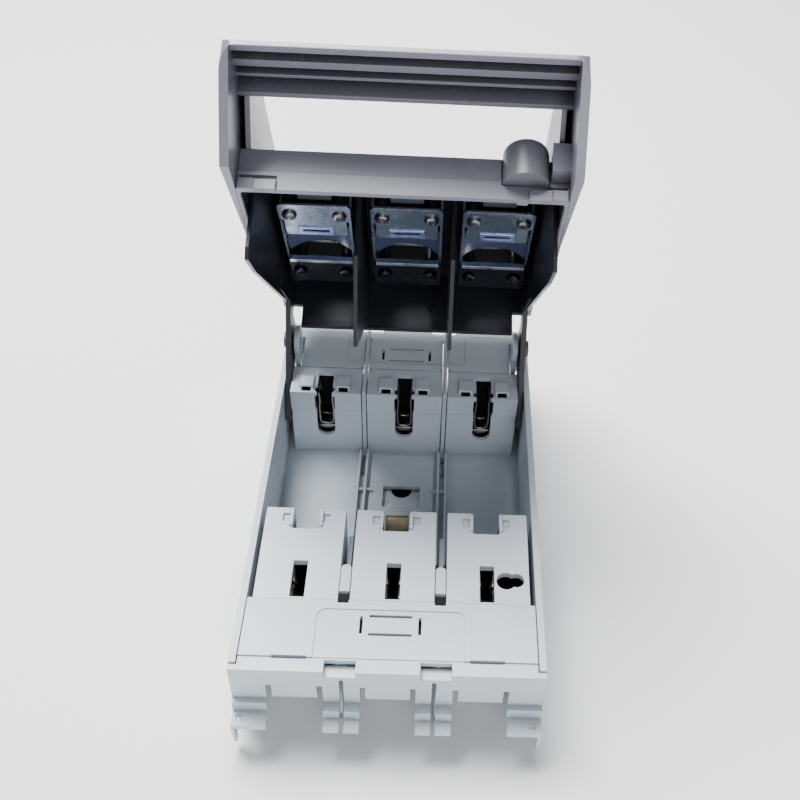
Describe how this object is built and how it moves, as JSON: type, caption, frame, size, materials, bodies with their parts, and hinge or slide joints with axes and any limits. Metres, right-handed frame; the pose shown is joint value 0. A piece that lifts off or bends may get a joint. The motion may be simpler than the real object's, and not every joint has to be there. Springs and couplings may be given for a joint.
{
  "type": "fused disconnect switch",
  "caption": "Fuse switch-disconnector with an open-fronted base, spring contact jaws under shrouds, sliding terminal covers and a hinged lid with a bail handle.",
  "frame": {"origin": "middle of the back face that lies on the mounting panel, at the centre of the four mounting holes", "axes": "+Z out of the panel towards the lid, +Y towards the hinge end, +X to the right seen from the front with the hinge end away"},
  "size_m": [0.11, 0.193, 0.2052],
  "materials": {
    "housing": "moulded matte",
    "shroud": "moulded matte",
    "cover": "moulded matte",
    "lid_shell": "moulded satin",
    "handle_shell": "moulded satin",
    "frame_inner": "moulded satin",
    "contact_metal": "silver-plated",
    "clip_steel": "spring steel",
    "clamp_steel": "zinc-plated",
    "screw_steel": "zinc-plated",
    "carrier_steel": "bright zinc-plated",
    "bar_steel": "bright zinc-plated",
    "pan_screw_steel": "zinc-plated",
    "liner": "glossy",
    "arc_steel": "plain steel",
    "window_clear": "clear plastic",
    "slide_plastic": "moulded matte",
    "knob_plastic": "moulded satin",
    "cam_steel": "zinc-plated",
    "pin_plastic": "moulded satin",
    "latch_steel": "bright zinc-plated",
    "tab_bronze": "dull bronze",
    "spring_steel": "spring steel"
  },
  "bodies": {
    "base": {"base_housing": "housing", "near_shroud_1": "shroud", "near_shroud_2": "shroud", "near_shroud_3": "shroud", "far_shroud_1": "shroud", "far_shroud_2": "shroud", "far_shroud_3": "shroud", "near_contact_1": "contact_metal", "near_contact_2": "contact_metal", "near_contact_3": "contact_metal", "far_contact_1": "contact_metal", "far_contact_2": "contact_metal", "far_contact_3": "contact_metal", "near_jaw_clips": "clip_steel", "far_jaw_clips": "clip_steel", "near_clamp_plates": "clamp_steel", "far_clamp_plates": "clamp_steel", "near_terminal_screws": "screw_steel", "far_terminal_screws": "screw_steel", "pivot_pin_left": "pin_plastic", "pivot_pin_right": "pin_plastic", "latch_spring": "spring_steel"},
    "lid": {"lid_cover": "lid_shell", "handle": "handle_shell", "lid_frame": "frame_inner", "carrier_bars": "bar_steel", "carrier_screws": "pan_screw_steel", "fuse_carrier_1": "carrier_steel", "arc_liner_1": "liner", "arc_plates_1": "arc_steel", "window_1": "window_clear", "fuse_carrier_2": "carrier_steel", "arc_liner_2": "liner", "arc_plates_2": "arc_steel", "window_2": "window_clear", "fuse_carrier_3": "carrier_steel", "arc_liner_3": "liner", "arc_plates_3": "arc_steel", "window_3": "window_clear"},
    "near_cover": {"near_terminal_cover": "cover"},
    "far_cover": {"far_terminal_cover": "cover"},
    "knob": {"lock_knob": "knob_plastic", "lock_cam": "cam_steel"},
    "latch": {"rail_latch": "latch_steel", "latch_tab": "tab_bronze"},
    "slide_1": {"test_slide_1": "slide_plastic"},
    "slide_2": {"test_slide_2": "slide_plastic"},
    "slide_3": {"test_slide_3": "slide_plastic"}
  },
  "joints": [
    {"name": "lid_hinge", "type": "hinge", "parent": "base", "child": "lid", "pos_m": [0, 0.0665, 0.0484], "axis": [1, 0, 0], "range_deg": [0, 65.5]},
    {"name": "lock_turn", "type": "hinge", "parent": "lid", "child": "knob", "pos_m": [0.0384, 0.01682, 0.16851], "axis": [0, 0.91, 0.4147], "range_deg": [0, 50]},
    {"name": "near_cover_slide", "type": "slide", "parent": "base", "child": "near_cover", "axis": [0, -1, 0], "range_m": [0, 0.025]},
    {"name": "far_cover_slide", "type": "slide", "parent": "base", "child": "far_cover", "axis": [0, 1, 0], "range_m": [0, 0.025]},
    {"name": "latch_slide", "type": "slide", "parent": "base", "child": "latch", "axis": [0, 1, 0], "range_m": [0, 0.005], "stiffness_N_per_m": 400, "deforming": ["latch_spring"]},
    {"name": "test_slide_1", "type": "slide", "parent": "lid", "child": "slide_1", "axis": [1, 0, 0], "range_m": [0, 0.004]},
    {"name": "test_slide_2", "type": "slide", "parent": "lid", "child": "slide_2", "axis": [1, 0, 0], "range_m": [0, 0.004]},
    {"name": "test_slide_3", "type": "slide", "parent": "lid", "child": "slide_3", "axis": [1, 0, 0], "range_m": [0, 0.004]}
  ]
}
